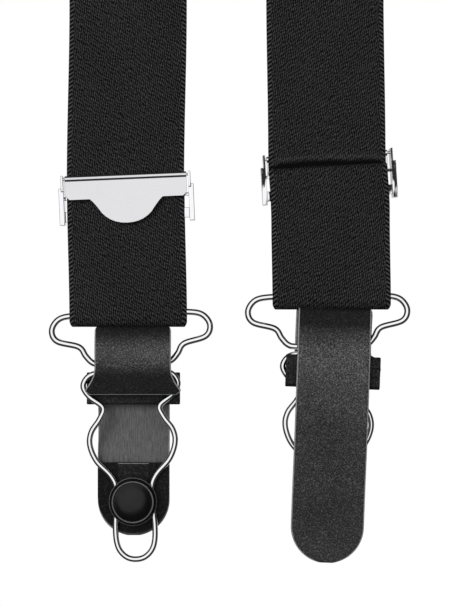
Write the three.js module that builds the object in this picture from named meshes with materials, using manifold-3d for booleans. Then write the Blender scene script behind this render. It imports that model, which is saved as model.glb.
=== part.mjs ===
// Y-back elastic suspenders, hung over a rounded bar at the shoulder bend.
// Millimetres, +Z up. Origin: the top of the bar, midway between the two front straps.
// The wearer's front faces -Y. Both front straps end in a wire ring, a leather hanger and a
// wire clip closed over a button; one front strap is turned so that its inner side faces -Y.
import * as THREE from 'three';
import { mergeVertices } from 'three/addons/utils/BufferGeometryUtils.js';
import Module from 'manifold-3d';

const wasm = await Module();
wasm.setup();

// ---- driving dimensions ----
const gap = 0.3;                 // clearance between pieces that touch

const strapWidth = 35;
const strapThick = 1.4;
const barRadius = 12;            // bar that the shoulder bend hangs over
const frontStrapX = 30;          // centre of each front strap from the middle
const leftFoldZ = -520;          // bottom of the strap fold, left front
const rightFoldZ = -514.8;
const twistTopZ = -60;           // the turned strap makes its half turn between these heights
const twistBottomZ = -300;
const patchJoinGap = 2.2;        // between the two front straps where they end under the patch
const shoulderEndZ = -124;
const backStrapTopZ = -128;
const backFoldZ = -310;

const patchThick = 1.2;
const patchTopZ = -92;
const patchBottomZ = -156;
const patchTopHalf = 41;
const patchBottomHalf = 20;

const ringWire = 0.9;            // wire radii
const clipWire = 0.8;
const ringBarZ = 3.6;            // top bar of the ring above the fold's lowest point
const ringLobe = 6.2;            // reach of each ring lobe beyond the strap's edge
const ringDropZ = -11.2;         // lower bar that carries the leather
const ringLowerHalf = 9.6;

const leatherThick = 1.3;
const leatherHalf = 10.8;
const leatherEarHalf = 14.4;     // the hanger widens above the clip
const leatherFootZ = -20.5;      // lower end of the front layer
const endBlockHalf = 14;
const endBlockTopZ = -14;
const endBlockBottomZ = -23.6;
const endBlockThick = 2.2;
const webHalf = 9;               // where the end block reaches forward through the clip
const webThick = 1.3;

const buttonRadius = 7.2;
const buttonStem = 3.3;
const buttonBase = 5.2;
const buttonDome = 3.4;
const backingThick = 0.9;
const backingAbove = 11.5;       // reach of the button backing above and below the button
const backingBelow = 9.7;
const tabBelow = 10.7;           // reach of the leather tab below the button

const coverOverhang = 0.6;       // of the cover beyond each edge of the strap
const coverShoulder = 6.3;
const coverDepth = 13.7;
const coverThick = 0.6;
const coverBead = 0.9;
const coverStep = 0.45;          // the plate's face lies this far behind the bead's front
const pinRadius = 0.4;
const cheekClear = 0.5;          // between the cover's end and the cheek
const cheekThick = 1.5;
const lugThick = 0.7;
const cheekTop = -2.7;
const cheekBottom = -13.7;
const crossBar = 1.0;
const hookLength = 3.4;          // end of the strap turned down in front of the cross bar
const anvilHeight = 3;
const anvilThick = 0.7;

// ---- sizes that follow ----
const strapHalf = strapWidth / 2;
const patchJoinX = strapHalf + patchJoinGap / 2;   // centre of each front strap under the patch
const ringHalf = strapHalf + ringLobe;             // on the wire's centre
const coverHalf = strapHalf + coverOverhang;
const cheekInner = coverHalf + cheekClear;
const strapY = barRadius + strapThick / 2;
const foldRadius = ringWire + gap + strapThick / 2;
const pinY = -foldRadius - strapThick / 2 - 0.4 - coverBead;
const foldCentre = foldRadius + strapThick / 2;   // above the fold's lowest point
const mouthZ = foldCentre + 1.5; // the strap's lower end, where the fold piece takes over
const hookRadius = crossBar / 2 + gap + strapThick / 2 + 0.15;
const crossBarY = hookRadius - 0.1;
const crossBarZ = -5.6;          // below the cover's bead
const frontLayerY = -(ringWire + 0.45 + leatherThick / 2);
const endBlockY = clipWire + gap;
const backingY = clipWire + gap;
const baseY = backingY + backingThick + gap;
const baseThick = 0.6;
const tabY = baseY + baseThick + gap + leatherThick / 2;
const tabBehindBlock = Math.max(tabY, endBlockY + endBlockThick + gap + leatherThick / 2);

// ---- materials ----
function finish(color, roughness, metalness) {
  return new THREE.MeshStandardMaterial({ color, roughness, metalness });
}
const elastic = () => finish(0x2b2b2c, 0.9, 0);
const leather = () => finish(0x37373a, 0.6, 0);
const chrome = () => finish(0xd9dadb, 0.12, 1);
const rubber = () => finish(0x151516, 0.3, 0);

// ---- solids ----
function closed(geometry) {
  geometry.deleteAttribute('normal');
  geometry.deleteAttribute('uv');
  return mergeVertices(geometry, 1e-4);
}

function solid(geometry) {
  const g = closed(geometry);
  return new wasm.Manifold(new wasm.Mesh({
    numProp: 3,
    vertProperties: Float32Array.from(g.attributes.position.array),
    triVerts: Uint32Array.from(g.index.array),
  }));
}

function geometryOf(manifold) {
  const mesh = manifold.getMesh();
  const g = new THREE.BufferGeometry();
  g.setAttribute('position', new THREE.BufferAttribute(mesh.vertProperties, 3));
  g.setIndex(new THREE.BufferAttribute(mesh.triVerts, 1));
  return g;
}

function box(x0, x1, y0, y1, z0, z1) {
  const g = new THREE.BoxGeometry(x1 - x0, y1 - y0, z1 - z0);
  return g.translate((x0 + x1) / 2, (y0 + y1) / 2, (z0 + z1) / 2);
}

// a plate drawn in X and Z, with its thickness from y0 towards +Y
function plate(shape, y0, thick, curveSegments = 8) {
  const g = new THREE.ExtrudeGeometry(shape, { depth: thick, bevelEnabled: false, curveSegments });
  return g.rotateX(Math.PI / 2).translate(0, y0 + thick, 0);
}

// numbers from one end to the other in even steps, both ends included
function evenly(from, to, steps) {
  return Array.from({ length: steps + 1 }, (_, i) => from + (to - from) * (i / steps));
}

// a flat band swept along a route: place(s) gives centre, side and face directions, and half width
// at each of the stations, which run from 0 to 1 along the route
function band(thick, stations, place) {
  const steps = stations.length - 1;
  const g = new THREE.BoxGeometry(2, thick, 1, 1, 1, steps);
  const p = g.attributes.position;
  for (let i = 0; i < p.count; i += 1) {
    const at = place(stations[Math.round((p.getZ(i) + 0.5) * steps)]);
    const point = at.centre.clone()
      .addScaledVector(at.side, p.getX(i) * at.half)
      .addScaledVector(at.face, p.getY(i));
    p.setXYZ(i, point.x, point.y, point.z);
  }
  return closed(g);
}

// a band that keeps its side along X and follows a curve drawn in Y and Z
function profileBand(curve, thick, steps, halfAt) {
  const side = new THREE.Vector3(1, 0, 0);
  return band(thick, evenly(0, 1, steps), (t) => {
    const centre = curve.getPointAt(t);
    const along = curve.getTangentAt(t);
    const face = new THREE.Vector3().crossVectors(along, side).normalize();
    return { centre, side, face, half: halfAt(centre, t) };
  });
}

// a closed round wire that lies in the X-Z plane
function wireLoop(curve, radius, sides, steps) {
  const g = new THREE.TorusGeometry(10, 1, sides, steps);
  const p = g.attributes.position;
  const out = new THREE.Vector3(0, 1, 0);
  for (let j = 0, i = 0; j <= sides; j += 1) {
    const v = (j / sides) * Math.PI * 2;
    for (let k = 0; k <= steps; k += 1, i += 1) {
      const t = (k % steps) / steps;
      const along = curve.getTangentAt(t);
      const inward = new THREE.Vector3().crossVectors(along, out).normalize();
      const point = curve.getPointAt(t)
        .addScaledVector(inward, Math.cos(v) * radius)
        .addScaledVector(out, Math.sin(v) * radius);
      p.setXYZ(i, point.x, point.y, point.z);
    }
  }
  return closed(g);
}

// a symmetric closed route from the right half's points, given from the top middle downwards
function mirroredLoop(half, tension) {
  const right = half.map(([x, z]) => new THREE.Vector3(x, 0, z));
  const left = half.slice(1, -1).reverse().map(([x, z]) => new THREE.Vector3(-x, 0, z));
  return new THREE.CatmullRomCurve3([...right, ...left], true, 'catmullrom', tension);
}

function named(name, geometry, material) {
  const mesh = new THREE.Mesh(geometry, material);
  mesh.name = name;
  return mesh;
}

// ---- straps ----
const point3 = (x, y, z) => new THREE.Vector3(x, y, z);

// front strap: up from its fold, over the bar and down to the patch
function shoulderStrap(name, x, foldX, foldZ, side, twisted) {
  const mouth = foldZ + mouthZ;
  const path = new THREE.CurvePath();
  path.add(new THREE.LineCurve3(point3(foldX, -strapY, mouth), point3(x, -strapY, -barRadius)));
  const bend = [];
  for (let i = 0; i <= 12; i += 1) {
    const a = Math.PI * (i / 12);
    bend.push(point3(x, -strapY * Math.cos(a), -barRadius + strapY * Math.sin(a)));
  }
  path.add(new THREE.CatmullRomCurve3(bend));
  const end = point3(side * patchJoinX, strapY, shoulderEndZ);
  path.add(new THREE.LineCurve3(point3(x, strapY, -barRadius), end));
  const lean = Math.atan2(x - side * patchJoinX, -barRadius - shoulderEndZ);
  const lengths = path.getCurveLengths();
  const [frontEnd, bendEnd] = lengths.map((length) => length / lengths[2]);
  const stations = [
    ...evenly(0, frontEnd, 34), ...evenly(frontEnd, bendEnd, 14).slice(1), ...evenly(bendEnd, 1, 4).slice(1),
  ];
  return named(name, band(strapThick, stations, (t) => {
    const centre = path.getPointAt(t);
    const along = path.getTangentAt(t).normalize();
    let across = point3(1, 0, 0);
    const onBack = centre.y > 0 && centre.z < -barRadius;
    if (onBack) across = point3(Math.cos(lean), 0, -Math.sin(lean));
    if (twisted && centre.y < 0 && centre.z < twistTopZ) {
      const k = THREE.MathUtils.smoothstep(-centre.z, -twistTopZ, -twistBottomZ);
      across = across.applyAxisAngle(point3(0, 0, 1), Math.PI * k);
    }
    const face = new THREE.Vector3().crossVectors(along, across).normalize();
    return { centre, side: across, face, half: strapHalf };
  }), elastic());
}

// fold round the ring and the layer that returns to the adjuster's cross bar, whose slope it takes
function foldedReturn(name, topZ, hooked, slope) {
  const path = new THREE.CurvePath();
  const arc = [];
  for (let i = 0; i <= 8; i += 1) {
    const a = Math.PI * (i / 8);
    arc.push(point3(0, -foldRadius * Math.cos(a), foldCentre - foldRadius * Math.sin(a)));
  }
  path.add(new THREE.LineCurve3(point3(0, -foldRadius, mouthZ - gap), arc[0]));
  path.add(new THREE.CatmullRomCurve3(arc));
  const innerY = hooked ? crossBarY + hookRadius : strapThick + gap - foldRadius;
  const low = hooked ? foldCentre : foldCentre + 12;
  if (!hooked) {
    path.add(new THREE.CubicBezierCurve3(arc[8], point3(0, foldRadius, foldCentre + 5),
      point3(0, innerY, low - 5), point3(0, innerY, low)));
  }
  const start = hooked ? arc[8] : point3(0, innerY, low);
  path.add(new THREE.LineCurve3(start, point3(0, innerY, topZ)));
  if (hooked) {
    const hook = [];
    for (let i = 0; i <= 6; i += 1) {
      const a = Math.PI * (i / 6);
      hook.push(point3(0, crossBarY + hookRadius * Math.cos(a), topZ + hookRadius * Math.sin(a)));
    }
    path.add(new THREE.CatmullRomCurve3(hook));
    path.add(new THREE.LineCurve3(hook[6], point3(0, crossBarY - hookRadius, topZ - hookLength)));
  }
  const g = profileBand(path, strapThick, 40, () => strapHalf);
  const p = g.attributes.position;
  for (let i = 0; i < p.count; i += 1) {
    const k = THREE.MathUtils.smoothstep(p.getZ(i), topZ * 0.4, topZ - hookLength - strapThick);
    p.setZ(i, p.getZ(i) + p.getX(i) * slope * k);
  }
  return named(name, g, elastic());
}

// ---- adjuster, about its cover's bead ----
function adjuster(name) {
  const cheekOuter = cheekInner + cheekThick;
  const rearY = crossBarY + crossBar / 2;
  let frame = solid(box(-cheekInner - 0.2, cheekInner + 0.2, crossBarY - crossBar / 2, rearY,
    crossBarZ - crossBar / 2, crossBarZ + crossBar / 2));
  const anvilY = -foldRadius + strapThick / 2 + gap;
  frame = frame.add(solid(box(-cheekInner - 0.2, cheekInner + 0.2, anvilY, anvilY + anvilThick,
    cheekBottom + 1, cheekBottom + 1 + anvilHeight)));
  for (const side of [-1, 1]) {
    const x0 = side * cheekInner;
    const x1 = side * cheekOuter;
    const x2 = side * (cheekInner + lugThick);
    const cheek = box(Math.min(x0, x1), Math.max(x0, x1), pinY - 0.2, rearY, cheekBottom, cheekTop);
    const lug = box(Math.min(x0, x2), Math.max(x0, x2), pinY - 1, rearY, cheekTop - 1, 1);
    frame = frame.add(solid(cheek)).add(solid(lug));
  }
  const bore = new THREE.CylinderGeometry(pinRadius + gap, pinRadius + gap, 60, 10);
  frame = frame.subtract(solid(bore.rotateZ(Math.PI / 2).translate(0, pinY, 0)));

  const shoulder = -coverShoulder;
  const shape = new THREE.Shape();
  shape.moveTo(-coverHalf, 0);
  shape.lineTo(-coverHalf, shoulder + 1.1);
  shape.lineTo(-coverHalf + 1.2, shoulder);
  shape.lineTo(-10.9, shoulder);
  shape.quadraticCurveTo(-9.6, shoulder - 1, -7.4, -10.6);
  shape.quadraticCurveTo(-4.6, -coverDepth, 0, -coverDepth);
  shape.quadraticCurveTo(4.6, -coverDepth, 7.4, -10.6);
  shape.quadraticCurveTo(9.6, shoulder - 1, 10.9, shoulder);
  shape.lineTo(coverHalf - 1.2, shoulder);
  shape.lineTo(coverHalf, shoulder + 1.1);
  shape.lineTo(coverHalf, 0);
  shape.closePath();
  const bead = new THREE.CylinderGeometry(coverBead, coverBead, coverHalf * 2, 14).rotateZ(Math.PI / 2);
  const eye = new THREE.CylinderGeometry(pinRadius + 0.2, pinRadius + 0.2, 60, 10).rotateZ(Math.PI / 2);
  const cover = solid(plate(shape, pinY - coverBead + coverStep, coverThick, 5))
    .add(solid(bead.translate(0, pinY, 0)))
    .subtract(solid(eye.translate(0, pinY, 0)));

  const pinLength = 2 * (cheekInner + lugThick);
  const pin = new THREE.CylinderGeometry(pinRadius, pinRadius, pinLength, 10).rotateZ(Math.PI / 2);
  const group = new THREE.Group();
  group.add(named(`${name}_adjuster_frame`, geometryOf(frame), chrome()));
  group.add(named(`${name}_adjuster_cover`, geometryOf(cover), chrome()));
  group.add(named(`${name}_adjuster_pin`, closed(pin.translate(0, pinY, 0)), chrome()));
  return group;
}

// ---- ring, about the fold's lowest point ----
function ring(name) {
  const route = mirroredLoop([
    [0, ringBarZ], [9, ringBarZ], [strapHalf - 0.3, ringBarZ], [ringHalf - 2.1, 2.6], [ringHalf, -0.6],
    [ringHalf - 1.5, -3.9],
    [15.8, -5.8], [13.8, -8.6], [11.9, -10.6], [ringLowerHalf - 0.4, ringDropZ], [0, ringDropZ],
  ], 0.5);
  return named(`${name}_ring`, wireLoop(route, ringWire, 6, 48), chrome());
}

// ---- leather hanger, button and clip ----
function leatherStrip(name, buttonZ, bow) {
  const footY = frontLayerY;
  const loop = -frontLayerY;
  const apexZ = -2 * gap - leatherThick / 2;
  const rearY = tabBehindBlock;
  const seatZ = buttonZ + backingAbove;
  const pts = [
    point3(0, footY, leatherFootZ), point3(0, footY, -14), point3(0, footY, -8), point3(0, footY, -4),
  ];
  for (let i = 1; i < 6; i += 1) {
    const a = Math.PI * (i / 6);
    pts.push(point3(0, -loop * Math.cos(a), apexZ - loop + loop * Math.sin(a)));
  }
  pts.push(point3(0, loop, -4.6), point3(0, loop + 0.2, -8), point3(0, rearY, endBlockTopZ + 1));
  const midZ = (endBlockBottomZ + seatZ) / 2;
  pts.push(point3(0, rearY + bow * 0.25, endBlockTopZ - 5), point3(0, rearY + bow, midZ));
  pts.push(point3(0, tabY + bow * 0.2, seatZ + 3), point3(0, tabY, seatZ - 3));
  pts.push(point3(0, tabY, buttonZ), point3(0, tabY, buttonZ - tabBelow));
  const route = new THREE.CatmullRomCurve3(pts, false, 'catmullrom', 0.5);
  const tabEnd = buttonZ - tabBelow;
  const halfAt = (c) => {
    if (c.y < 0) {
      const k = THREE.MathUtils.smoothstep(-c.z, 14, -leatherFootZ - 1);
      return leatherHalf + (leatherEarHalf - leatherHalf) * k;
    }
    const rise = Math.max(0, leatherHalf - (c.z - tabEnd));
    return Math.sqrt(Math.max(leatherHalf ** 2 - rise ** 2, 1.5));
  };
  return named(`${name}_leather_hanger`, profileBand(route, leatherThick, 52, halfAt), leather());
}

function endBlock(name) {
  const rear = solid(box(-endBlockHalf, endBlockHalf, endBlockY, endBlockY + endBlockThick,
    endBlockBottomZ, endBlockTopZ));
  const web = solid(box(-webHalf, webHalf, frontLayerY + leatherThick / 2 + gap, endBlockY + 0.2,
    leatherFootZ, leatherFootZ + webThick));
  return named(`${name}_leather_end_block`, geometryOf(rear.add(web)), leather());
}

function backing(name, buttonZ) {
  const half = leatherHalf - 0.1;
  const top = backingAbove;
  const shape = new THREE.Shape();
  shape.moveTo(-half, top);
  shape.lineTo(half, top);
  shape.lineTo(half, half - backingBelow);
  shape.absellipse(0, half - backingBelow, half, half, 0, -Math.PI, true);
  shape.closePath();
  const hole = new THREE.Path();
  hole.absarc(0, 0, buttonStem + gap, 0, Math.PI * 2, false);
  shape.holes.push(hole);
  const g = plate(shape, backingY, backingThick, 8).translate(0, 0, buttonZ);
  return named(`${name}_button_backing`, closed(g), leather());
}

function button(name, buttonZ) {
  const under = clipWire + gap + 0.1;
  const rim = 0.9;
  const profile = [
    [0, -baseY - baseThick], [buttonBase, -baseY - baseThick], [buttonBase, -baseY], [buttonStem, -baseY],
    [buttonStem, under], [buttonRadius, under], [buttonRadius, under + rim],
  ];
  for (let i = 0; i <= 5; i += 1) {
    const a = (i / 5) * Math.PI / 2;
    profile.push([(buttonRadius - 1) * Math.cos(a), under + rim + (buttonDome - rim) * Math.sin(a)]);
  }
  const g = new THREE.LatheGeometry(profile.map(([r, h]) => new THREE.Vector2(Math.max(r, 0), h)), 18);
  g.rotateX(Math.PI).translate(0, 0, buttonZ);
  return named(`${name}_button`, closed(g), rubber());
}

function clip(name) {
  const route = mirroredLoop([
    [0, -13.7], [8, -13.75], [12.3, -14.6], [14.2, -17.6], [12.4, -20.9], [8.5, -24.2], [9.6, -27.6],
    [12.2, -31.4], [12.75, -35.4], [10.6, -40.2], [6.2, -44.8], [5.2, -48.4], [5.6, -54],
    [6.2, -60.5], [5.6, -65.8], [2.8, -68.9], [0, -69.4],
  ], 0.5);
  return named(`${name}_clip_wire`, wireLoop(route, clipWire, 6, 64), chrome());
}

// ---- one end of a strap, about the lowest point of its fold ----
function strapEnd(name, { x, y, z, turned, ringLean, ringShift, leatherLean, leatherShift,
  clipLean, clipShift, buttonZ, bow, adjusterZ, adjusterLean }) {
  const turn = turned ? -1 : 1;
  const end = new THREE.Group();
  end.position.set(x, y, z);
  end.rotation.z = turned ? Math.PI : 0;
  const leaning = (degrees, pivotZ, shift, ...pieces) => {
    const outer = new THREE.Group();
    outer.position.set(shift * turn, 0, pivotZ);
    outer.rotation.y = -THREE.MathUtils.degToRad(degrees) * turn;
    for (const piece of pieces) {
      piece.position.z -= pivotZ;
      outer.add(piece);
    }
    end.add(outer);
  };
  const topZ = adjusterZ ? adjusterZ + crossBarZ : 34;
  const slope = Math.tan(THREE.MathUtils.degToRad(adjusterLean)) * turn;
  end.add(foldedReturn(`${name}_strap_return`, topZ, Boolean(adjusterZ), slope));
  leaning(ringLean, ringBarZ, ringShift, ring(name));
  leaning(leatherLean, ringDropZ, leatherShift, leatherStrip(name, buttonZ, bow), endBlock(name),
    backing(name, buttonZ), button(name, buttonZ));
  leaning(clipLean, endBlockTopZ, clipShift, clip(name));
  if (adjusterZ) {
    const seated = adjuster(name);
    seated.position.z = adjusterZ;
    leaning(adjusterLean, adjusterZ, 0, seated);
  }
  return end;
}

// ---- shoulder patch ----
function patch(name, y0) {
  const r = 5;
  const shape = new THREE.Shape();
  shape.moveTo(-patchTopHalf + r, patchTopZ);
  shape.lineTo(patchTopHalf - r, patchTopZ);
  shape.quadraticCurveTo(patchTopHalf, patchTopZ, patchTopHalf - 1, patchTopZ - r);
  shape.quadraticCurveTo(patchTopHalf - 8, patchTopZ - 36, patchBottomHalf, patchBottomZ + r);
  shape.quadraticCurveTo(patchBottomHalf - 1, patchBottomZ, patchBottomHalf - r, patchBottomZ);
  shape.lineTo(-patchBottomHalf + r, patchBottomZ);
  shape.quadraticCurveTo(-patchBottomHalf + 1, patchBottomZ, -patchBottomHalf, patchBottomZ + r);
  shape.quadraticCurveTo(-patchTopHalf + 8, patchTopZ - 36, -patchTopHalf + 1, patchTopZ - r);
  shape.quadraticCurveTo(-patchTopHalf, patchTopZ, -patchTopHalf + r, patchTopZ);
  return named(name, closed(plate(shape, y0, patchThick, 8)), leather());
}

// ---- assembly ----
const suspenders = new THREE.Group();
const leftX = -frontStrapX;
const rightX = frontStrapX;
suspenders.add(shoulderStrap('left_strap', leftX, leftX, leftFoldZ, -1, false));
suspenders.add(shoulderStrap('right_strap', rightX, rightX, rightFoldZ, 1, true));
suspenders.add(strapEnd('left', {
  x: leftX, y: -strapY + foldRadius, z: leftFoldZ, turned: false, ringLean: 2, ringShift: 0.4,
  leatherLean: 0, leatherShift: 1.2, clipLean: 1.2, clipShift: 1, buttonZ: -52.5, bow: 2,
  adjusterZ: 44.4, adjusterLean: 2.4,
}));
suspenders.add(strapEnd('right', {
  x: rightX, y: -strapY - foldRadius, z: rightFoldZ, turned: true, ringLean: 0.7,
  ringShift: -0.8, leatherLean: -2.2, leatherShift: 0.2, clipLean: -2.2, clipShift: 0.2, buttonZ: -64.6, bow: 0.6,
  adjusterZ: 45.6, adjusterLean: 3.4,
}));

const backStrap = box(-strapHalf, strapHalf, strapY - strapThick / 2, strapY + strapThick / 2,
  backFoldZ + mouthZ, backStrapTopZ);
suspenders.add(named('back_strap', closed(backStrap), elastic()));
suspenders.add(strapEnd('back', {
  x: 0, y: strapY - foldRadius, z: backFoldZ, turned: true, ringLean: 0, ringShift: 0,
  leatherLean: 0, leatherShift: 0, clipLean: 0, clipShift: 0, buttonZ: -58, bow: 3, adjusterZ: 0,
  adjusterLean: 0,
}));
suspenders.add(patch('patch_outer', strapY + strapThick / 2 + gap));
suspenders.add(patch('patch_inner', strapY - strapThick / 2 - gap - patchThick));

export default suspenders;
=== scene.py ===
import math
import bpy
from mathutils import Matrix, Vector


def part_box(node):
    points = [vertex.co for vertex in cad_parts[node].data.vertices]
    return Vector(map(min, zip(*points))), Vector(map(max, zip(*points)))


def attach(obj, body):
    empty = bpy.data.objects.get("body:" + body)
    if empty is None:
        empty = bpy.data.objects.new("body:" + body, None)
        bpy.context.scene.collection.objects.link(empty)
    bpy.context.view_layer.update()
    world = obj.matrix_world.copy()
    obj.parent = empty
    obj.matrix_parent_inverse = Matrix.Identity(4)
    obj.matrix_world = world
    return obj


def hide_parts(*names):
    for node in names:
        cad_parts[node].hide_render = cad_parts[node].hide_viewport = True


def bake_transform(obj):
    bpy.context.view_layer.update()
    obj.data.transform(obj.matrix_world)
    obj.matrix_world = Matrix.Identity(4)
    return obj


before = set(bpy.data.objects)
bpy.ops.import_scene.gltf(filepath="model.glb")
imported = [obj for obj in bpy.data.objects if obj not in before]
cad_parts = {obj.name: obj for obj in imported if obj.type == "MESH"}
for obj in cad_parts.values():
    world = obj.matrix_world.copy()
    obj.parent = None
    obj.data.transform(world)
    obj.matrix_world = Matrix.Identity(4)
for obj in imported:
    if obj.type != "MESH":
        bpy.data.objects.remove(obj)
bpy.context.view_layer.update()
print("frame loaded")

mm = 0.001

# the straps, in metres, as the frame has them
strap = {"width": 35 * mm, "thick": 1.4 * mm, "barRadius": 12 * mm, "across": 10,
         "edgeBevel": 0.3 * mm, "rowStep": 1.6 * mm, "creaseAngle": 50}
# heights about which the ring, the leather and the clip lean, above the fold
pivot = {"ring": 3.6, "leather": -11.2, "clip": -14}
# each end: the way it faces, its leans in degrees, and places and shifts in millimetres
ends = {
    "left": {"turn": 1, "ringLean": 2, "leatherLean": 0, "clipLean": 1.9, "adjusterLean": 2.4,
             "fold": (-30, -10.8, -520), "ringShift": 0.4, "leatherShift": 1.2, "clipShift": 0.3,
             "button": -52.5, "bow": 2, "adjuster": 44.4},
    "right": {"turn": -1, "ringLean": 0.7, "leatherLean": -2.2, "clipLean": -2.2,
              "adjusterLean": 3.4, "fold": (30, -14.6, -514.8), "ringShift": -0.8,
              "leatherShift": 1.0, "clipShift": 0.2,
              "button": -64.6, "bow": 0.6, "adjuster": 45.6},
    "back": {"turn": -1, "ringLean": 0, "leatherLean": 0, "clipLean": 0, "adjusterLean": 0,
             "fold": (0, 10.8, -310), "ringShift": 0, "leatherShift": 0, "clipShift": 0,
             "button": -58, "bow": 3, "adjuster": 0},
}

# camera, level with the clips and straight in front
view = {"centre": (-0.55, -12.7, -513.3), "height": 181.2, "lens": 120, "sensor": 36}


def addCamera():
    data = bpy.data.cameras.new("camera")
    data.lens = view["lens"]
    data.sensor_width = view["sensor"]
    camera = bpy.data.objects.new("camera", data)
    bpy.context.collection.objects.link(camera)
    distance = view["height"] * mm * view["lens"] / view["sensor"]
    x, y, z = (v * mm for v in view["centre"])
    camera.location = (x, y - distance, z)
    camera.rotation_euler = (math.radians(90), 0, 0)
    bpy.context.scene.camera = camera


addCamera()
print("camera placed")


class Signal:
    # a socket that takes part in plain arithmetic
    def __init__(self, tree, socket):
        self.tree = tree
        self.socket = socket

    def math(self, operation, *others):
        node = self.tree.nodes.new("ShaderNodeMath")
        node.operation = operation
        for slot, value in zip(node.inputs, (self,) + others):
            plug(self.tree, slot, value)
        return Signal(self.tree, node.outputs[0])

    def __add__(self, other): return self.math("ADD", other)
    def __radd__(self, other): return self.math("ADD", other)
    def __sub__(self, other): return self.math("SUBTRACT", other)
    def __mul__(self, other): return self.math("MULTIPLY", other)
    def __rmul__(self, other): return self.math("MULTIPLY", other)

    def __rsub__(self, other):
        return (self * -1) + other

    def sine(self): return self.math("SINE")
    def size(self): return self.math("ABSOLUTE")
    def over(self, limit): return self.math("GREATER_THAN", limit)
    def rise(self, low, high): return ((self - low) * (1 / (high - low))).clamped()
    def clamped(self): return self.math("MAXIMUM", 0).math("MINIMUM", 1)


def plug(tree, socket, value):
    if isinstance(value, Signal):
        tree.links.new(value.socket, socket)
    else:
        socket.default_value = value


class Surface:
    # one material, its shader and the nodes that feed it
    def __init__(self, name, **fixed):
        self.material = bpy.data.materials.new(name)
        self.material.use_nodes = True
        self.tree = self.material.node_tree
        self.shader = self.tree.nodes["Principled BSDF"]
        for key, value in fixed.items():
            self.shader.inputs[key.replace("_", " ")].default_value = value

    def node(self, kind, settings=None, output=0, **values):
        node = self.tree.nodes.new(kind)
        for key, value in (settings or {}).items():
            setattr(node, key, value)
        for key, value in values.items():
            plug(self.tree, node.inputs[key.replace("_", " ")], value)
        return Signal(self.tree, node.outputs[output])

    def coords(self, scale=(1, 1, 1), turn=(0, 0, 0), uv=False):
        source = self.node("ShaderNodeTexCoord", output="UV" if uv else "Object")
        return self.node("ShaderNodeMapping", Vector=source, Scale=scale, Rotation=turn)

    def noise(self, vector, scale, detail=3, roughness=0.5):
        return self.node("ShaderNodeTexNoise", Vector=vector, Scale=scale, Detail=detail,
                         Roughness=roughness)

    def split(self, vector, axis):
        return self.node("ShaderNodeSeparateXYZ", Vector=vector, output="XYZ".index(axis))

    def blend(self, factor, a, b):
        node = self.tree.nodes.new("ShaderNodeMix")
        node.data_type = "RGBA"
        plug(self.tree, node.inputs[0], factor)
        plug(self.tree, node.inputs[6], a)
        plug(self.tree, node.inputs[7], b)
        return Signal(self.tree, node.outputs[2])

    def bump(self, height, depth, strength=1.0):
        return self.node("ShaderNodeBump", Height=height, Distance=depth, Strength=strength)

    def feed(self, **values):
        for key, value in values.items():
            plug(self.tree, self.shader.inputs[key.replace("_", " ")], value)
        return self.material


def grey(level):
    return (level, level, level * 1.02, 1.0)


# the elastic's weave in millimetres: upright lanes, steps along them and the woven edge
weave = {"lanePitch": 0.6, "laneSlant": 1.5, "stepPitch": 1.1, "stepSlant": 3.6, "selvage": 16.2,
         "tickPitch": 1.25, "tickSlant": 3.2, "dark": 0.0035, "light": 0.070}
# line of the painted crease shade and painted highlight: its height along the band, lean and waver,
# in millimetres
creaseShadeLine = {"height": 45.3, "lean": 3.8, "waver": 3.2}


def elasticSurface(name, creaseShaded=False):
    w = weave
    s = Surface(name, Specular_IOR_Level=0.05)
    flat = s.coords(scale=(1000, 1000, 1000), uv=True)      # the band's own map, now in millimetres
    across = s.split(flat, "X")
    along = s.split(flat, "Y")
    # short floats that stand nearly upright, with the yarn's own unevenness
    wander = s.noise(s.coords(scale=(500, 300, 1), uv=True), 1.0, 2) - 0.5
    lane = (across * (2 * math.pi / w["lanePitch"]) - along * w["laneSlant"] + wander * 8.0).sine()
    step = (along * (2 * math.pi / w["stepPitch"]) + across * w["stepSlant"] + wander * 14.0).sine()
    floats = (lane * 0.5 + 0.5) * (step * 0.35 + 0.65)
    dash = s.noise(s.coords(scale=(2500, 950, 1), turn=(0, 0, 0.22), uv=True), 1.0, 2, 0.7)
    cloud = s.noise(s.coords(scale=(60, 40, 1), uv=True), 1.0, 2)
    # the woven edge: ticks that slant inwards from each selvage
    edge = (across.size() - w["selvage"]).over(0)
    ticks = (along * (2 * math.pi / w["tickPitch"]) + across.size() * w["tickSlant"]).sine()
    ticks = ticks * 0.5 + 0.5
    height = (1 - edge) * (floats * 0.48 + dash * 0.8) + edge * (ticks * 0.8 + dash * 0.3)
    lift = ((height - 0.44) * 1.9 + (cloud - 0.5) * 0.2).clamped()
    if creaseShaded:
        # the fold over the adjuster's bar presses a groove into the band's bump; the dark line in
        # its colour is painted shade, and the lighter band about 2 mm to either side of it is a
        # painted highlight
        slope = -math.tan(math.radians(creaseShadeLine["lean"]))
        bend = s.noise(s.coords(scale=(75, 4, 1), uv=True), 1.0, 1) * creaseShadeLine["waver"]
        away = (along - across * slope - creaseShadeLine["height"] + bend).size()
        away = away + across.size().rise(14, 17.2) * 0.9
        height = height - (1 - away.rise(0.1, 1.4)) * 2
        creaseHighlight = (1 - (away - 2.1).size().rise(0, 1.1)) * 0.14
        lift = lift * (away.rise(0.5, 1.5) * 0.98 + 0.02) + creaseHighlight
    color = s.blend(lift, grey(w["dark"]), grey(w["light"]))
    return s.feed(Base_Color=color, Roughness=0.9 - lift * 0.1, Normal=s.bump(height, 0.00016, 0.8))


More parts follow.
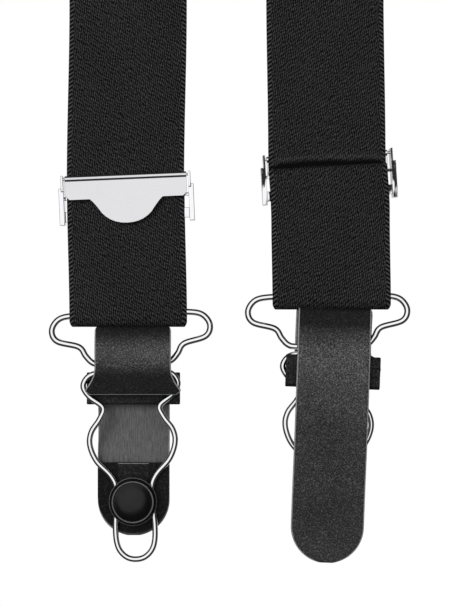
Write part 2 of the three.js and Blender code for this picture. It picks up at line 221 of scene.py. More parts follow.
def leatherSurface(name, dark, light, grain, depth, rough, sheenPainted=False):
    s = Surface(name, Specular_IOR_Level=0.08, Coat_Roughness=0.36)
    where = s.coords()
    cells = s.node("ShaderNodeTexVoronoi", {"feature": "SMOOTH_F1"}, Vector=where, Scale=grain,
                   Smoothness=0.6)
    fine = s.noise(where, grain * 1.7, 3)
    cloud = s.noise(where, 60, 3)
    height = cells * 0.7 + fine * 0.5
    spark = (s.noise(where, grain * 2.2, 2, 0.7) - 0.55) * 2.5
    tone = ((height - 0.40) * 1.6 + (cloud - 0.5) * 0.5 + spark).clamped()
    # random coat everywhere; on the strip this also carries the painted sheen
    polishAndPaintedSheen = cloud * 0.2
    if sheenPainted:
        # along the strip, the bend of the front layer and the upper tab get a lighter colour and
        # more coat: a painted sheen, with painted shade darkening the colour elsewhere on the strip
        travel = s.split(s.coords(uv=True), "Y")
        front = (1 - (travel - 12.2).size().rise(0.5, 7.0))
        rear = travel.rise(27, 34) * (1 - travel.rise(40, 58) * 0.55)
        polishAndPaintedSheen = front * front * (3 - front * 2) + rear
        tone = tone * (polishAndPaintedSheen * 0.85 + 0.15)
    color = s.blend(tone, grey(dark), grey(light))
    return s.feed(Base_Color=color, Roughness=rough + fine * 0.16, Coat_Weight=polishAndPaintedSheen * 0.5,
                  Normal=s.bump(height, depth, 0.8))


def fleshSurface():
    s = Surface("leather_inside", Specular_IOR_Level=0.1)
    streak = s.noise(s.coords(scale=(3.4, 0.26, 1), uv=True), 1.0, 4, 0.65)
    speck = s.noise(s.coords(scale=(4.5, 1.6, 1), uv=True), 1.0, 2)
    fibre = ((streak - 0.5) * 1.7 + (speck - 0.5) * 0.7 + 0.45).clamped()
    return s.feed(Base_Color=s.blend(fibre, grey(0.045), grey(0.175)), Roughness=0.72 + speck * 0.1,
                  Normal=s.bump(streak, 0.00008, 0.5))


def cutEdgeSurface():
    s = Surface("leather_cut_edge", Specular_IOR_Level=0.3)
    fibre = s.noise(s.coords(scale=(1800, 1800, 1800)), 1.0, 3)
    return s.feed(Base_Color=s.blend(fibre, grey(0.14), grey(0.42)), Roughness=0.5 + fibre * 0.15,
                  Normal=s.bump(fibre, 0.0001, 0.5))


def chromeSurface(name, rough, tint):
    s = Surface(name, Metallic=1.0)
    smear = s.noise(s.coords(scale=(120, 120, 120)), 1.0, 4)
    scratch = s.noise(s.coords(scale=(300, 300, 2600)), 1.0, 2)
    color = s.blend(smear, grey(tint), grey(tint * 0.94))
    return s.feed(Base_Color=color, Roughness=rough + smear * 0.05,
                  Normal=s.bump(scratch * 0.4 + smear, 0.00001, 0.15))


def threadSurface():
    s = Surface("sewing_thread", Specular_IOR_Level=0.15)
    twist = s.noise(s.coords(scale=(3000, 3000, 1200)), 1.0, 2)
    return s.feed(Base_Color=s.blend(twist, grey(0.03), grey(0.13)), Roughness=0.6 + twist * 0.2,
                  Normal=s.bump(twist, 0.00006, 0.6))


def paintedShadeChrome():
    s = Surface("chrome_painted_shade", Metallic=1.0)
    # dark and bright streaks in the metal's colour: painted shade and painted reflection, for the
    # turned strap's frame
    streak = s.noise(s.coords(scale=(900, 400, 160)), 1.0, 2)
    patch = ((streak - 0.5) * 9 + 0.12).clamped()
    return s.feed(Base_Color=s.blend(patch, grey(0.025), grey(0.9)), Roughness=0.08 + streak * 0.06,
                  Normal=s.bump(streak, 0.00003, 0.4))


def buttonSurface(name, dark, light):
    s = Surface(name, Specular_IOR_Level=0.22, Coat_Roughness=0.14)
    haze = s.noise(s.coords(scale=(400, 400, 400)), 1.0, 4)
    return s.feed(Base_Color=s.blend(haze, grey(dark), grey(light)), Roughness=0.26 + haze * 0.12,
                  Coat_Weight=0.05 + haze * 0.3, Normal=s.bump(haze, 0.00002, 0.2))


finishes = {
    "elastic": elasticSurface("elastic"),
    # elastic for the turned strap, with a painted shade line and a painted highlight where it folds
    # over the adjuster
    "creaseShaded": elasticSurface("elastic_painted_crease_shade", creaseShaded=True),
    "leather": leatherSurface("grained_leather", 0.004, 0.075, 2500, 0.00016, 0.42),
    # the hanging strip's leather, with a painted sheen along its bends
    "strip": leatherSurface("leather_painted_sheen", 0.006, 0.20, 2500, 0.00016, 0.42, sheenPainted=True),
    "block": leatherSurface("rolled_leather", 0.004, 0.055, 2300, 0.00014, 0.5),
    "tongue": leatherSurface("tongue_leather", 0.006, 0.034, 1500, 0.00005, 0.45),
    "backing": leatherSurface("smooth_backing", 0.003, 0.022, 1500, 0.00005, 0.5),
    "inside": fleshSurface(),
    "edge": cutEdgeSurface(),
    "chrome": chromeSurface("bright_chrome", 0.035, 0.93),
    "plate": chromeSurface("polished_plate", 0.08, 0.75),
    "button": buttonSurface("button_rubber", 0.002, 0.006),
    # lighter finish for the button's rims: a painted highlight
    "rim": buttonSurface("button_rim_painted_highlight", 0.06, 0.16),
    "paintedShade": paintedShadeChrome(),
    "thread": threadSurface(),
}
print("materials made")


# selecting, finishing and placing a piece
def clearSelection():
    if bpy.context.object and bpy.context.object.mode != "OBJECT":
        bpy.ops.object.mode_set(mode="OBJECT")
    bpy.ops.object.select_all(action="DESELECT")


def makeActive(piece):
    clearSelection()
    piece.select_set(True)
    bpy.context.view_layer.objects.active = piece


def finishWith(piece, *materials):
    piece.data.materials.clear()
    for name in materials:
        piece.data.materials.append(finishes[name])


def applyModifier(piece, kind, **settings):
    makeActive(piece)
    modifier = piece.modifiers.new(kind.lower(), kind)
    for key, value in settings.items():
        setattr(modifier, key, value)
    bpy.ops.object.modifier_apply(modifier=modifier.name)


def smooth(piece, degrees=35):
    makeActive(piece)
    bpy.ops.object.shade_smooth_by_angle(angle=math.radians(degrees))


def outward(piece):
    makeActive(piece)
    bpy.ops.object.mode_set(mode="EDIT")
    bpy.ops.mesh.select_all(action="SELECT")
    bpy.ops.mesh.remove_doubles(threshold=1e-6)
    bpy.ops.mesh.normals_make_consistent(inside=False)
    bpy.ops.object.mode_set(mode="OBJECT")


def meshFrom(name, curve):
    piece = bpy.data.objects.new(name, curve)
    bpy.context.collection.objects.link(piece)
    makeActive(piece)
    bpy.ops.object.convert(target="MESH")
    piece = bpy.context.object
    outward(piece)
    return piece


def pieceFrom(name, points, edges, faces):
    mesh = bpy.data.meshes.new(name)
    mesh.from_pydata(points, edges, faces)
    piece = bpy.data.objects.new(name, mesh)
    bpy.context.collection.objects.link(piece)
    makeActive(piece)
    return piece


def addBar(place, size):
    clearSelection()
    bpy.ops.mesh.primitive_cube_add(size=1, location=place)
    piece = bpy.context.object
    piece.scale = size
    makeActive(piece)
    bpy.ops.object.transform_apply(location=True, rotation=True, scale=True)
    return piece


def within(value):
    return min(max(value, 0), 1)


def ease(t):
    return t * t * (3 - 2 * t)


# a piece drawn about the fold's lowest point, in millimetres, is put in its end of the strap
def endMatrix(end, lean, shift, pivot):
    e = ends[end]
    x, y, z = e["fold"]
    place = Matrix.Translation((x * mm, y * mm, z * mm))
    if e["turn"] < 0:
        place = place @ Matrix.Rotation(math.pi, 4, "Z")
    place = place @ Matrix.Translation((shift * e["turn"] * mm, 0, pivot * mm))
    place = place @ Matrix.Rotation(-math.radians(lean) * e["turn"], 4, "Y")
    return place @ Matrix.Translation((0, 0, -pivot * mm)) @ Matrix.Scale(mm, 4)


def leatherMatrix(end):
    return endMatrix(end, ends[end]["leatherLean"], ends[end]["leatherShift"], pivot["leather"])


def settle(piece, matrix):
    piece.data.transform(matrix)
    piece.data.update()


def seat(piece, body, slot, *nodes):
    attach(piece, body)
    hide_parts(*nodes)


# a band of cloth or leather: rows holds centre, side direction, half width and distance along
def sweepBand(name, rows, thick, across, edgeBevel, *materials):
    clearSelection()
    bpy.ops.mesh.primitive_grid_add(x_subdivisions=across, y_subdivisions=len(rows) - 1, size=1)
    piece = bpy.context.object
    piece.name = name
    mesh = piece.data
    columns = across + 1
    for i, vertex in enumerate(mesh.vertices):
        row, column = divmod(i, columns)
        centre, side, half, _ = rows[row]
        vertex.co = centre + side * (2 * column / across - 1) * half
    layer = mesh.uv_layers.active.data
    for loop in mesh.loops:
        row, column = divmod(loop.vertex_index, columns)
        _, _, half, travel = rows[row]
        layer[loop.index].uv = ((2 * column / across - 1) * half, travel)
    finishWith(piece, *materials)
    cut = len(materials) == 3                          # outer face, inner face and cut edge
    applyModifier(piece, "SOLIDIFY", thickness=thick, offset=0, use_even_offset=True,
                  material_offset=1 if cut else 0, material_offset_rim=2 if cut else 0)
    applyModifier(piece, "BEVEL", width=edgeBevel, segments=2, limit_method="ANGLE",
                  angle_limit=math.radians(60), material=2 if cut else -1,
                  use_clamp_overlap=not cut)
    return piece


# rows along a route of points, at even steps
def rowsAlong(points, sides, halves, step):
    rows = []
    travel = 0
    for i in range(len(points) - 1):
        length = (points[i + 1] - points[i]).length
        count = max(1, round(length / step))
        for k in range(count):
            t = k / count
            side = sides[i].lerp(sides[i + 1], t).normalized()
            half = halves[i] + (halves[i + 1] - halves[i]) * t
            rows.append((points[i].lerp(points[i + 1], t), side, half, travel + length * t))
        travel += length
    rows.append((points[-1], sides[-1].normalized(), halves[-1], travel))
    return rows


# a smooth line through points
def catmull(points, closed, perSpan):
    out = []
    n = len(points)
    spans = n if closed else n - 1
    for i in range(spans):
        if closed:
            p = [points[(i + k - 1) % n] for k in range(4)]
        else:
            p = [points[min(max(i + k - 1, 0), n - 1)] for k in range(4)]
        for k in range(perSpan):
            t = k / perSpan
            out.append(0.5 * (2 * p[1] + (p[2] - p[0]) * t
                              + (2 * p[0] - 5 * p[1] + 4 * p[2] - p[3]) * t * t
                              + (3 * p[1] - 3 * p[2] + p[3] - p[0]) * t ** 3))
    if not closed:
        out.append(points[-1].copy())
    return out


# a bent round wire, closed on itself
def bendWire(name, half, radius, perSpan=8, sides=5):
    route = [Vector((x, 0, z)) for x, z in half]
    route += [Vector((-x, 0, z)) for x, z in reversed(half[1:-1])]
    line = catmull(route, True, perSpan)
    data = bpy.data.curves.new(name, "CURVE")
    data.dimensions = "3D"
    data.bevel_depth = radius
    data.bevel_resolution = sides
    spline = data.splines.new("POLY")
    spline.points.add(len(line) - 1)
    for point, place in zip(spline.points, line):
        point.co = (*place, 1)
    spline.use_cyclic_u = True
    return meshFrom(name, data)


# straps: the turn under the ring, in millimetres
fold = {"radius": 1.9, "centre": 2.6, "sag": 0.35, "steps": 8, "worn": 1.5, "wornHeight": 1.8}
# where the front straps meet at the back, in millimetres, and the half turn, in metres
strapRoute = {"endX": 18.6, "endZ": -124, "turnTop": 0.06, "turnLength": 0.24}
# sideways drift of each strap, in millimetres, at heights above its fold
sway = {"left": ((0, -0.2), (44, -1.0), (95, -0.2), (195, -0.6), (300, 0)),
        "right": ((0, 0.4), (28, 0.0), (46, -0.9), (95, -1.5), (195, -0.8), (300, 0)),
        "back": ((0, 0), (300, 0))}


def drift(end, height):
    knots = sway[end]
    for (low, a), (high, b) in zip(knots, knots[1:]):
        if height < high:
            t = max(0, (height - low) / (high - low))
            return a + (b - a) * ease(t)
    return 0


# the band's corners are worn round where it turns under the ring
def cornerCut(height):
    return fold["worn"] * max(0, 1 - (height + fold["sag"]) / fold["wornHeight"]) ** 2


def foldAngles(count):
    return [math.pi / 2 * i / fold["steps"] for i in range(count)]


def strapRows(end, x, foldZ, side, twisted):
    top = strap["barRadius"] + strap["thick"] / 2
    low = -strap["barRadius"]
    # the fold's front half belongs to the strap, so that the seam is underneath
    turn = -1 if twisted else 1
    foldY = -top + turn * fold["radius"] * mm
    start = foldZ + fold["centre"] * mm
    points = [Vector((x, foldY - turn * fold["radius"] * mm * math.sin(a),
                      start - (fold["radius"] + fold["sag"]) * mm * math.cos(a)))
              for a in foldAngles(fold["steps"])]
    steps = 80
    for i in range(steps + 1):
        z = start + (low - start) * i / steps
        points.append(Vector((x, -top, z)))
    for p in points:
        p.x += drift(end, (p.z - foldZ) / mm) * mm
    for i in range(1, 25):
        a = math.pi * i / 24
        points.append(Vector((x, -top * math.cos(a), low + top * math.sin(a))))
    endX, endZ = side * strapRoute["endX"] * mm, strapRoute["endZ"] * mm
    for i in range(1, 21):
        t = i / 20
        points.append(Vector((x + (endX - x) * t, top, low + (endZ - low) * t)))
    lean = math.atan2(x - endX, low - endZ)
    sides = []
    for p in points:
        direction = Vector((1, 0, 0))
        if p.y > 0 and p.z < low - 1e-6:
            direction = Vector((math.cos(lean), 0, -math.sin(lean)))
        if twisted and p.y < 0 and p.z < -strapRoute["turnTop"]:
            k = within((-p.z - strapRoute["turnTop"]) / strapRoute["turnLength"])
            direction = Matrix.Rotation(math.pi * ease(k), 3, "Z") @ direction
        sides.append(direction)
    halves = [strap["width"] / 2 - cornerCut((p.z - foldZ) / mm) * mm for p in points]
    return rowsAlong(points, sides, halves, strap["rowStep"])


def makeStraps():
    for end, side, twisted in (("left", -1, False), ("right", 1, True)):
        x, _, z = ends[end]["fold"]
        rows = strapRows(end, x * mm, z * mm, side, twisted)
        piece = sweepBand(end + "_elastic", rows, strap["thick"], strap["across"],
                          strap["edgeBevel"], "creaseShaded" if twisted else "elastic")
        smooth(piece, strap["creaseAngle"])
        seat(piece, "root", "elastic", end + "_strap")
    low, high = (Vector(v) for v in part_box("back_strap"))
    y = (low.y + high.y) / 2
    _, foldY, foldZ = (v * mm for v in ends["back"]["fold"])
    r, start = fold["radius"] * mm, foldZ + fold["centre"] * mm
    points = [Vector((0, foldY + r * math.sin(a), start - (r + fold["sag"] * mm) * math.cos(a)))
              for a in foldAngles(fold["steps"])]
    points += [Vector((0, y, start + (high.z - start) * i / 60)) for i in range(61)]
    count = len(points)
    halves = [strap["width"] / 2 - cornerCut((p.z - foldZ) / mm) * mm for p in points]
    rows = rowsAlong(points, [Vector((1, 0, 0))] * count, halves, strap["rowStep"])
    piece = sweepBand("back_elastic", rows, strap["thick"], strap["across"], strap["edgeBevel"],
                      "elastic")
    smooth(piece, strap["creaseAngle"])
    seat(piece, "root", "elastic", "back_strap")
    print("straps made")


# the return layer's way up to the adjuster's cross bar, in millimetres
adjusterSizes = {"crossBarZ": -5.6, "hookRadius": 1.65, "hookLength": 3.4, "crossBarY": 1.55}


def returnRows(end):
    e = ends[end]
    hooked = e["adjuster"] > 0
    r, c = fold["radius"], fold["centre"]
    points = [(r * math.sin(a), c - (r + fold["sag"]) * math.cos(a))
              for a in foldAngles(fold["steps"] + 1)]
    if hooked:
        topZ = e["adjuster"] + adjusterSizes["crossBarZ"]
        hook, barY = adjusterSizes["hookRadius"], adjusterSizes["crossBarY"]
        points += [(r + (barY + hook - r) * i / 20, c + (topZ - c) * i / 20) for i in range(1, 20)]
        points += [(barY + hook * math.cos(a), topZ + hook * math.sin(a))
                   for a in (math.pi * i / 10 for i in range(11))]
        points.append((barY - hook, topZ - adjusterSizes["hookLength"]))
    else:
        topZ = 34
        near = 1.7 - r
        for i in range(1, 11):
            t = i / 10
            points.append((r + (near - r) * ease(t), c + 12 * t))
        points += [(near, c + 12 + (topZ - c - 12) * i / 6) for i in range(1, 7)]
    slope = math.tan(math.radians(e["adjusterLean"])) * e["turn"]
    places = [Vector((0, y, z)) for y, z in points]
    halves = [17.5 - cornerCut(p.z) for p in places]
    rows = rowsAlong(places, [Vector((1, 0, 0))] * len(places), halves, 1.0)
    return rows, slope, topZ


def makeReturns():
    for end, e in ends.items():
        rows, slope, topZ = returnRows(end)
        piece = sweepBand(end + "_elastic_return", rows, 1.4, strap["across"], 0.3, "elastic")
        for vertex in piece.data.vertices:
            # the top edge leans with the adjuster
            k = within((vertex.co.z - topZ * 0.4) / (topZ * 0.6 - 6.4))
            vertex.co.x += drift(end, vertex.co.z) * e["turn"]
            vertex.co.z += vertex.co.x * slope * ease(k)
        for item in piece.data.uv_layers.active.data:
            item.uv = (item.uv[0] * mm, item.uv[1] * mm)
        settle(piece, endMatrix(end, 0, 0, 0))
        smooth(piece, strap["creaseAngle"])
        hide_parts(end + "_strap_return")
        if e["adjuster"]:
            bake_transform(piece)
        else:
            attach(piece, "root")
    print("return layers made")


makeStraps()
makeReturns()

# ring and clip wires: half of each outline, in millimetres
ringRoute = [(0, 3.6), (9, 3.6), (17.2, 3.6), (21.6, 2.6), (23.7, -0.6), (22.2, -3.9), (15.8, -5.8),
             (13.8, -8.6), (11.9, -10.6), (9.2, -11.2), (0, -11.2)]
clipRoute = [(0, -13.7), (8, -13.75), (12.3, -14.6), (14.2, -17.6), (12.4, -20.9), (8.5, -24.2),
             (9.6, -27.6), (12.2, -31.4), (12.75, -35.4), (10.9, -40.2), (6.9, -44.6), (5.3, -48.4),
             (5.5, -54), (5.9, -60), (5.7, -64.4), (4.7, -67.3), (2.6, -69.3), (0, -69.9)]
wireRadius = {"ring": 0.94, "clip": 0.87}


def makeWires():
    for end, e in ends.items():
        ring = bendWire(end + "_wire_ring", ringRoute, wireRadius["ring"])
        settle(ring, endMatrix(end, e["ringLean"], e["ringShift"], pivot["ring"]))
        clip = bendWire(end + "_wire_clip", clipRoute, wireRadius["clip"])
        settle(clip, endMatrix(end, e["clipLean"], e["clipShift"], pivot["clip"]))
        for piece, body, node in ((ring, "_ring", "_ring"), (clip, "_clip", "_clip_wire")):
            finishWith(piece, "chrome")
            smooth(piece, 60)
            seat(piece, end + body, "chrome", end + node)
    print("wires bent")


makeWires()

# leather: one strip that loops over the ring and hangs down as a tab
hanger = {"thick": 1.3, "half": 10.8, "frontHalf": 11.4, "earHalf": 14.4, "footZ": -20.5,
          "frontY": -2.0, "rearY": 4.25, "tabY": 3.85, "apexZ": -0.65, "across": 12,
          "edgeBevel": 0.32, "belowButton": 10.7, "aboveButton": 11.5, "roundRows": 26}


def hangerRows(end):
    h, e = hanger, ends[end]
    loop, button, bow = -h["frontY"], e["button"], e["bow"]
    apex = h["apexZ"] + (0.3 if end == "right" else 0)
    seatZ, tabEnd = button + h["aboveButton"], button - h["belowButton"]
    spots = [(h["frontY"] + 0.25, h["footZ"]), (h["frontY"] - 0.1, -18.6), (h["frontY"] - 0.7, -14),
             (h["frontY"] - 1.15, -9), (h["frontY"] - 0.8, -5), (h["frontY"] - 0.3, -3.4)]
    spots += [(-loop * math.cos(math.pi * i / 6), apex - loop + loop * math.sin(math.pi * i / 6))
              for i in range(1, 6)]
    spots += [(loop, -4.6), (loop + 0.2, -8), (h["rearY"], -13), (h["rearY"] + bow * 0.25, -19),
              (h["rearY"] + bow, (-23.6 + seatZ) / 2), (h["tabY"] + bow * 0.2, seatZ + 3),
              (h["tabY"], seatZ - 3), (h["tabY"], button), (h["tabY"], tabEnd)]
    line = catmull([Vector((0, y, z)) for y, z in spots], False, 4)
    # more rows near the round end
    last = line[-1]
    line = [p for p in line if (p - last).length > 11 or p.y < 0]
    count = h["roundRows"]
    line += [Vector((0, h["tabY"], tabEnd + 0.14 + 10.5 * (1 - i / count) ** 1.3))
             for i in range(count + 1)]
    rows, travel = [], 0
    for i, p in enumerate(line):
        if i:
            travel += (p - line[i - 1]).length
        if p.y < 0:
            # the front layer widens from the loop, and its foot ends in two ears
            k = within((-p.z - 12.5) / 6.6)
            front = h["half"] + (h["frontHalf"] - h["half"]) * ease(min(-p.y / 1.9, 1))
            half = front + (h["earHalf"] - front) * k ** 1.9
            half -= max(0, -p.z - 19.3) * 1.1
        else:
            rise = max(0, h["half"] - (p.z - tabEnd))
            half = math.sqrt(max(h["half"] ** 2 - rise ** 2, 3))
        rows.append((p, Vector((1, 0, 0)), half, travel))
    return rows


def makeHangers():
    for end, e in ends.items():
        piece = sweepBand(end + "_hanger", hangerRows(end), hanger["thick"], hanger["across"],
                          hanger["edgeBevel"], "strip", "inside", "edge")
        settle(piece, leatherMatrix(end))
        smooth(piece, 50)
        seat(piece, end + "_leather", "leather", end + "_leather_hanger")
    print("hangers made")


makeHangers()


# a softened copy of a plain node, with its edges rounded
def refine(node, name, body, slot, width, segments, *materials, shift=0):
    source = bpy.data.objects[node]
    piece = source.copy()
    piece.data = source.data.copy()
    piece.name = name
    for key in list(piece.keys()):
        del piece[key]
    bpy.context.collection.objects.link(piece)
    makeActive(piece)
    bpy.ops.object.mode_set(mode="EDIT")
    bpy.ops.mesh.select_all(action="SELECT")
    bpy.ops.mesh.remove_doubles(threshold=1e-6)
    bpy.ops.mesh.dissolve_limited(angle_limit=math.radians(1))
    bpy.ops.object.mode_set(mode="OBJECT")
    finishWith(piece, *materials)
    applyModifier(piece, "BEVEL", width=width, segments=segments, limit_method="ANGLE",
                  angle_limit=math.radians(35), material=len(materials) - 1)
    settle(piece, Matrix.Translation((shift * mm, 0, 0)))
    smooth(piece, 35)
    applyModifier(piece, "WEIGHTED_NORMAL", mode="FACE_AREA", weight=100, keep_sharp=True)
    seat(piece, body, slot, node)
    return piece


# edge radii of the copies, and how far the turned end's backing and the adjusters are moved
rounding = {"backing": 0.00015, "frame": 0.0002, "cover": 0.00026, "pin": 0.0001, "patch": 0.0003,
            "backingShift": 0.8, "adjusterShare": 0.9}

for end in ends:
    refine(end + "_button_backing", end + "_backing", end + "_leather", "inner_leather",
           rounding["backing"], 2, "backing",
           shift=rounding["backingShift"] if end == "right" else 0)
    if ends[end]["adjuster"]:
        aside = drift(end, ends[end]["adjuster"]) * rounding["adjusterShare"]
        # the turned strap's frame takes the chrome with painted shade, the other frame plain chrome
        refine(end + "_adjuster_frame", end + "_frame", end + "_adjuster", "chrome",
               rounding["frame"], 3, "paintedShade" if ends[end]["turn"] < 0 else "chrome", "chrome",
               shift=aside)
        refine(end + "_adjuster_cover", end + "_cover_plate", end + "_cover", "chrome",
               rounding["cover"], 3, "plate", "chrome", shift=aside)
        refine(end + "_adjuster_pin", end + "_hinge_pin", end + "_adjuster", "chrome",
               rounding["pin"], 2, "chrome", shift=aside)
for node in ("patch_outer", "patch_inner"):
    refine(node, node + "_leather", "root", "leather", rounding["patch"], 3, "leather")
print("small pieces refined")

# rolled end behind the clip
roll = {"half": 14, "top": -14, "bottom": -23.6, "front": 1.1, "rear": 3.3,
        "grooves": (-17.4, -20.0), "depth": 0.35, "bevel": 0.35, "webTop": -19.2,
        "webBottom": -20.5, "webHalf": 9, "webFront": -1.05}


def makeEndRoll(end):
    r = roll
    outline = [(r["front"], r["top"]), (r["rear"] - 0.6, r["top"]), (r["rear"], r["top"] - 0.7)]
    for z in r["grooves"]:
        outline += [(r["rear"], z + 0.3), (r["rear"] - r["depth"], z), (r["rear"], z - 0.3)]
    outline += [(r["rear"], r["bottom"] + 0.9), (r["rear"] - 0.8, r["bottom"]),
                (r["front"] + 0.5, r["bottom"]), (r["front"], r["bottom"] + 0.5)]
    piece = pieceFrom(end + "_end_roll", [(-r["half"], y, z) for y, z in outline], [],
                      [list(range(len(outline)))])
    bpy.ops.object.mode_set(mode="EDIT")
    bpy.ops.mesh.select_all(action="SELECT")
    bpy.ops.mesh.extrude_region_move(TRANSFORM_OT_translate={"value": (2 * r["half"], 0, 0)})
    bpy.ops.object.mode_set(mode="OBJECT")
    # a web joins the roll to the front layer's foot
    addBar((0, (r["webFront"] + r["front"]) / 2 + 0.2, (r["webTop"] + r["webBottom"]) / 2),
           (2 * r["webHalf"], r["front"] - r["webFront"] + 0.4, r["webTop"] - r["webBottom"]))
    piece.select_set(True)
    bpy.context.view_layer.objects.active = piece
    bpy.ops.object.join()
    outward(piece)
    applyModifier(piece, "BEVEL", width=r["bevel"], segments=3, limit_method="ANGLE",
                  angle_limit=math.radians(50))
    settle(piece, leatherMatrix(end))
    finishWith(piece, "block")
    smooth(piece, 40)
    seat(piece, end + "_leather", "leather", end + "_leather_end_block")


# the short tongue that stands on the backing above the button
tongue = {"half": 4.6, "top": 11.3, "bottom": 5.6, "front": 0.86, "rear": 1.3, "bevel": 0.13}


def makeTongue(end):
    t = tongue
    middle = ends[end]["button"] + (t["top"] + t["bottom"]) / 2
    piece = addBar((0, (t["front"] + t["rear"]) / 2, middle),
                   (2 * t["half"], t["rear"] - t["front"], t["top"] - t["bottom"]))
    piece.name = end + "_backing_tongue"
    bpy.ops.object.mode_set(mode="EDIT")
    bpy.ops.mesh.select_all(action="SELECT")
    bpy.ops.mesh.bevel(offset=t["bevel"], segments=2)
    bpy.ops.object.mode_set(mode="OBJECT")
    settle(piece, leatherMatrix(end))
    finishWith(piece, "tongue", "edge")
    # faces turned upwards take the lighter cut-edge finish: the top is a cut edge, and giving it
    # only to the upward faces makes it a painted highlight along the top
    for face in piece.data.polygons:
        if face.normal.z > 0.3:
            face.material_index = 1
    smooth(piece, 40)
    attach(piece, end + "_leather")


for end in ends:
    makeEndRoll(end)
    makeTongue(end)
print("rolled ends made")

# button
buttonShape = {"radius": 7.2, "stem": 3.3, "base": 5.2, "under": 1.2, "ridge": 1.05, "steps": 48}


def makeButton(end):
    b = buttonShape
    under = b["under"]
    rim = b["radius"] - b["ridge"]                   # the thin ridge inside the flange
    profile = [(0, -2.9), (b["base"], -2.9), (b["base"], -2.3), (b["stem"], -2.3),
               (b["stem"], under),
               (b["radius"] - 0.25, under), (b["radius"], under + 0.2), (b["radius"], under + 0.5),
               (b["radius"] - 0.2, under + 0.75), (rim + 0.25, under + 1.1),
               (rim + 0.18, under + 1.9),
               (rim + 0.08, under + 2.25), (rim - 0.1, under + 2.3), (rim - 0.3, under + 2.2),
               (rim - 0.5, under + 2.0), (rim - 0.9, under + 2.15), (rim - 1.5, under + 2.45),
               (rim - 2.4, under + 2.75), (rim - 3.6, under + 3.0), (rim - 5, under + 3.12),
               (0, under + 3.14)]
    piece = pieceFrom(end + "_round_button", [(r, 0, h) for r, h in profile],
                      [(i, i + 1) for i in range(len(profile) - 1)], [])
    bpy.ops.object.mode_set(mode="EDIT")
    bpy.ops.mesh.select_all(action="SELECT")
    bpy.ops.mesh.spin(steps=b["steps"], angle=math.tau, center=(0, 0, 0), axis=(0, 0, 1))
    bpy.ops.object.mode_set(mode="OBJECT")
    outward(piece)
    finishWith(piece, "button", "rim")
    # the ridge and the outer rim of the flange take the lighter finish: a painted highlight where
    # they would catch the light
    for face in piece.data.polygons:
        reach = math.hypot(face.center.x, face.center.y)
        worn = rim - 0.22 < reach < rim + 0.02 or reach > b["radius"] - 0.12
        face.material_index = 1 if worn and face.center.z > under + 0.3 else 0
    upright = Matrix.Rotation(math.pi / 2, 4, "X")
    settle(piece, Matrix.Translation((0, 0, ends[end]["button"])) @ upright)
    settle(piece, leatherMatrix(end))
    smooth(piece, 40)
    seat(piece, end + "_leather", "button", end + "_button")


for end in ends:
    makeButton(end)
print("buttons made")

# stitching
stitch = {"length": 2.2, "gap": 0.9, "thread": 0.24, "inset": 2.2}
patch = {"top": -92, "bottom": -156, "edge": ((40, -94), (33, -128), (20, -154))}
tack = {"half": 15.6, "heights": (30.5, 33.5), "face": -2.62}


def sew(name, routes, body):
    data = bpy.data.curves.new(name, "CURVE")
    data.dimensions = "3D"
    data.bevel_depth = stitch["thread"] * mm
    data.bevel_resolution = 1
    data.use_fill_caps = True
    for a, b in routes:
        total = (b - a).length
        count = max(1, round(total / ((stitch["length"] + stitch["gap"]) * mm)))
        share = stitch["length"] / (stitch["length"] + stitch["gap"])
        for i in range(count):
            spline = data.splines.new("POLY")
            spline.points.add(1)
            for point, t in zip(spline.points, (i / count, (i + share) / count)):
                point.co = (*a.lerp(b, t), 1)
    piece = meshFrom(name, data)
    finishWith(piece, "thread")
    smooth(piece, 60)
    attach(piece, body)


def patchSeam(y):
    start, middle, end = (Vector((x - stitch["inset"], 0, z)) for x, z in patch["edge"])
    edge = [start * (1 - t) ** 2 + middle * (2 * t * (1 - t)) + end * t * t
            for t in (i / 10 for i in range(11))]
    edge[0].z = patch["top"] - stitch["inset"]
    edge[-1].z = patch["bottom"] + stitch["inset"]
    side = [Vector((p.x * mm, y, p.z * mm)) for p in edge]
    other = [Vector((-p.x, p.y, p.z)) for p in side]
    return ([(side[0], other[0]), (side[-1], other[-1])] + list(zip(side, side[1:]))
            + list(zip(other, other[1:])))


for node, front in (("patch_outer", False), ("patch_inner", True)):
    low, high = (Vector(v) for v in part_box(node))
    sew(node + "_seam", patchSeam(low.y if front else high.y), "root")
toWorld = endMatrix("back", 0, 0, 0)
tackLines = [tuple(toWorld @ Vector((x, tack["face"], z)) for x in (-tack["half"], tack["half"]))
             for z in tack["heights"]]
sew("back_tack", tackLines, "root")
print("seams sewn")


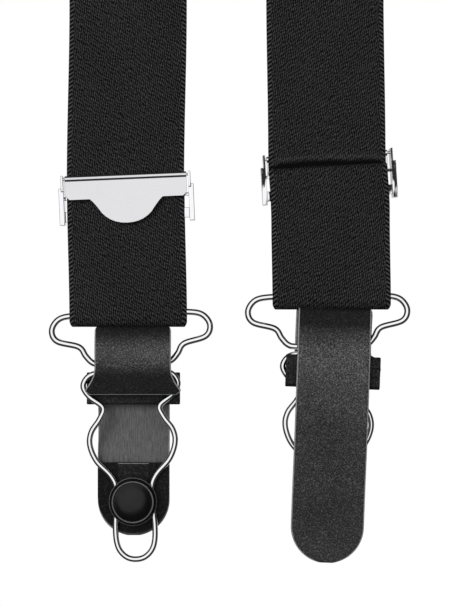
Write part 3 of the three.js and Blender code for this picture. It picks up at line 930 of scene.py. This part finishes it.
# studio: levels of the surroundings and the three lamps
studio = {"aim": (0.19, 0.962, 0.19), "back": 1.05, "front": 0.8,
          "stops": ((0.08, 1.0), (0.145, 0.01), (0.5, 0.05), (0.87, 0.01), (0.93, 0.6)),
          "lamps": (("behind", (0.4, 1.7, -0.1), (-88, 0, 12), 0.9, 12),
                    ("key", (-0.9, -1.6, 0.1), (70, 0, -28), 0.9, 20),
                    ("fill", (1.1, -1.4, -0.7), (92, 0, 38), 0.9, 6))}


def makeStudio():
    world = bpy.data.worlds.new("studio")
    bpy.context.scene.world = world
    world.use_nodes = True
    tree = world.node_tree
    background = tree.nodes["Background"]
    # bright in front, dark at the sides and dim behind, which gives metal its lines
    coords = tree.nodes.new("ShaderNodeTexCoord")
    split = tree.nodes.new("ShaderNodeSeparateXYZ")
    tree.links.new(coords.outputs["Generated"], split.inputs[0])
    x, y, z = (Signal(tree, split.outputs[i]) for i in range(3))
    aimX, aimY, aimZ = studio["aim"]
    facing = (y * aimY + x * aimX - z * aimZ) * 0.5 + 0.5
    ramp = tree.nodes.new("ShaderNodeValToRGB")
    stops = ramp.color_ramp.elements
    for stop, position, level in zip(stops, (0.0, 1.0), (studio["back"], studio["front"])):
        stop.position, stop.color = position, (level, level, level, 1)
    for position, level in studio["stops"]:
        stop = stops.new(position)
        stop.color = (level, level, level, 1)
    tree.links.new(facing.socket, ramp.inputs[0])
    lightPath = tree.nodes.new("ShaderNodeLightPath")
    mix = tree.nodes.new("ShaderNodeMix")
    mix.data_type = "RGBA"
    tree.links.new(lightPath.outputs["Is Camera Ray"], mix.inputs[0])
    tree.links.new(ramp.outputs[0], mix.inputs[6])
    mix.inputs[7].default_value = (1, 1, 1, 1)
    tree.links.new(mix.outputs[2], background.inputs["Color"])
    background.inputs["Strength"].default_value = 1.0

    for name, place, turn, size, power in studio["lamps"]:
        data = bpy.data.lights.new(name, "AREA")
        data.size = size
        data.energy = power
        lamp = bpy.data.objects.new(name, data)
        lamp.visible_glossy = False
        lamp.location = place
        lamp.rotation_euler = tuple(math.radians(v) for v in turn)
        bpy.context.collection.objects.link(lamp)
    bpy.context.scene.view_settings.view_transform = "Standard"


makeStudio()
print("studio lit")
